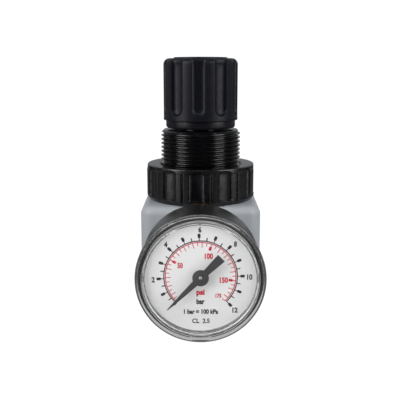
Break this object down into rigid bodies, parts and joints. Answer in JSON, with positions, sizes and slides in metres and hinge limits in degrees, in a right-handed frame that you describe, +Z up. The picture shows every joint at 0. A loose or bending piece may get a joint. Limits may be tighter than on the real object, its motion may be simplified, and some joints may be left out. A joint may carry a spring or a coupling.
{
  "type": "air pressure regulator",
  "caption": "Miniature compressed-air pressure regulator with a grey cast body, a black fluted knob on a threaded neck, a fluted clamp ring and a round dial gauge in front.",
  "frame": {"origin": "where the pipe axis through both ports crosses the spindle axis", "axes": "+Z up along the spindle towards the knob, +X along the pipe axis towards the outlet, -Y towards the gauge's dial"},
  "size_m": [0.0434, 0.0842, 0.0954],
  "materials": {
    "grey_paint": "satin powder coat on die-cast zinc",
    "black_plastic": "fine-grained matte moulding",
    "gloss_black_plastic": "smooth semi-gloss moulding",
    "clear_window": "clear snap-in plastic window",
    "dial_white": "printed white plastic",
    "dial_ink_black": "printed ink",
    "dial_ink_red": "printed ink",
    "pointer_grey": "painted aluminium",
    "brass": "machined",
    "steel": "turned, zinc plated",
    "spring_steel": "drawn wire",
    "zinc": "satin",
    "bronze": "drawn phosphor bronze",
    "rubber": "moulded nitrile rubber"
  },
  "bodies": {
    "housing": {"body": "grey_paint", "bottom_plug": "black_plastic", "bottom_plug_o_ring": "rubber", "back_port_plug": "zinc", "back_plug_seal": "rubber", "valve_seat": "brass", "valve_spring": "spring_steel", "diaphragm": "rubber", "control_spring": "spring_steel", "thrust_washer": "steel", "bonnet": "gloss_black_plastic", "bonnet_ring": "gloss_black_plastic", "lock_collar": "black_plastic", "gauge_stem": "brass", "gauge_stem_seal": "rubber", "gauge_throttle": "brass", "gauge_case": "gloss_black_plastic", "case_screw_left": "steel", "case_screw_right": "steel", "gauge_window": "clear_window", "dial": "dial_white", "movement_back_plate": "brass", "movement_front_plate": "brass", "movement_pillar_left": "brass", "movement_pillar_right": "brass", "movement_screw_left": "steel", "movement_screw_right": "steel", "bourdon_tube": "bronze", "bourdon_tip": "brass", "hairspring": "bronze"},
    "spindle": {"adjusting_screw": "steel", "retaining_ring": "steel", "knob_screw": "steel"},
    "knob_shell": {"knob": "black_plastic", "knob_cap": "black_plastic"},
    "nut": {"spring_nut": "brass"},
    "diaphragm_hub": {"relief_seat": "brass", "diaphragm_plate": "zinc"},
    "valve": {"poppet": "brass", "valve_disc": "rubber", "poppet_o_ring": "rubber"},
    "sector": {"sector_gear": "brass", "sector_arbor": "steel"},
    "pointer_set": {"pointer": "pointer_grey", "pinion_arbor": "steel"},
    "tube_link": {"link": "brass"}
  },
  "joints": [
    {"name": "knob_turn", "type": "hinge", "parent": "housing", "child": "spindle", "pos_m": [0, 0, 0.0416], "axis": [0, 0, -1], "range_deg": [0, 1200]},
    {"name": "knob_lock", "type": "slide", "parent": "spindle", "child": "knob_shell", "axis": [0, 0, -1], "range_m": [0, 0.0016]},
    {"name": "nut_travel", "type": "slide", "parent": "housing", "child": "nut", "axis": [0, 0, -1], "range_m": [0, 0.005], "deforming": ["control_spring"]},
    {"name": "diaphragm_stroke", "type": "slide", "parent": "housing", "child": "diaphragm_hub", "axis": [0, 0, -1], "range_m": [0, 0.001], "deforming": ["diaphragm"]},
    {"name": "valve_lift", "type": "slide", "parent": "housing", "child": "valve", "axis": [0, 0, -1], "range_m": [0, 0.001], "stiffness_N_per_m": 2000, "deforming": ["valve_spring"]},
    {"name": "sector_swing", "type": "hinge", "parent": "housing", "child": "sector", "pos_m": [0, -0.046, -0.011], "axis": [0, -1, 0], "range_deg": [0, 27], "stiffness_Nm_per_rad": 0.02},
    {"name": "pointer_turn", "type": "hinge", "parent": "housing", "child": "pointer_set", "pos_m": [0, -0.05, 0], "axis": [0, 1, 0], "range_deg": [0, 270]},
    {"name": "link_pivot", "type": "hinge", "parent": "sector", "child": "tube_link", "pos_m": [-0.00093, -0.047, -0.01489], "axis": [0, 1, 0], "range_deg": [0, 27]}
  ],
  "couplings": [
    {"joint": "nut_travel", "follows": "knob_turn", "m_per_rad": 0.0002387},
    {"joint": "valve_lift", "follows": "diaphragm_stroke", "ratio": 1},
    {"joint": "pointer_turn", "follows": "sector_swing", "ratio": 10},
    {"joint": "link_pivot", "follows": "sector_swing", "ratio": 1}
  ]
}
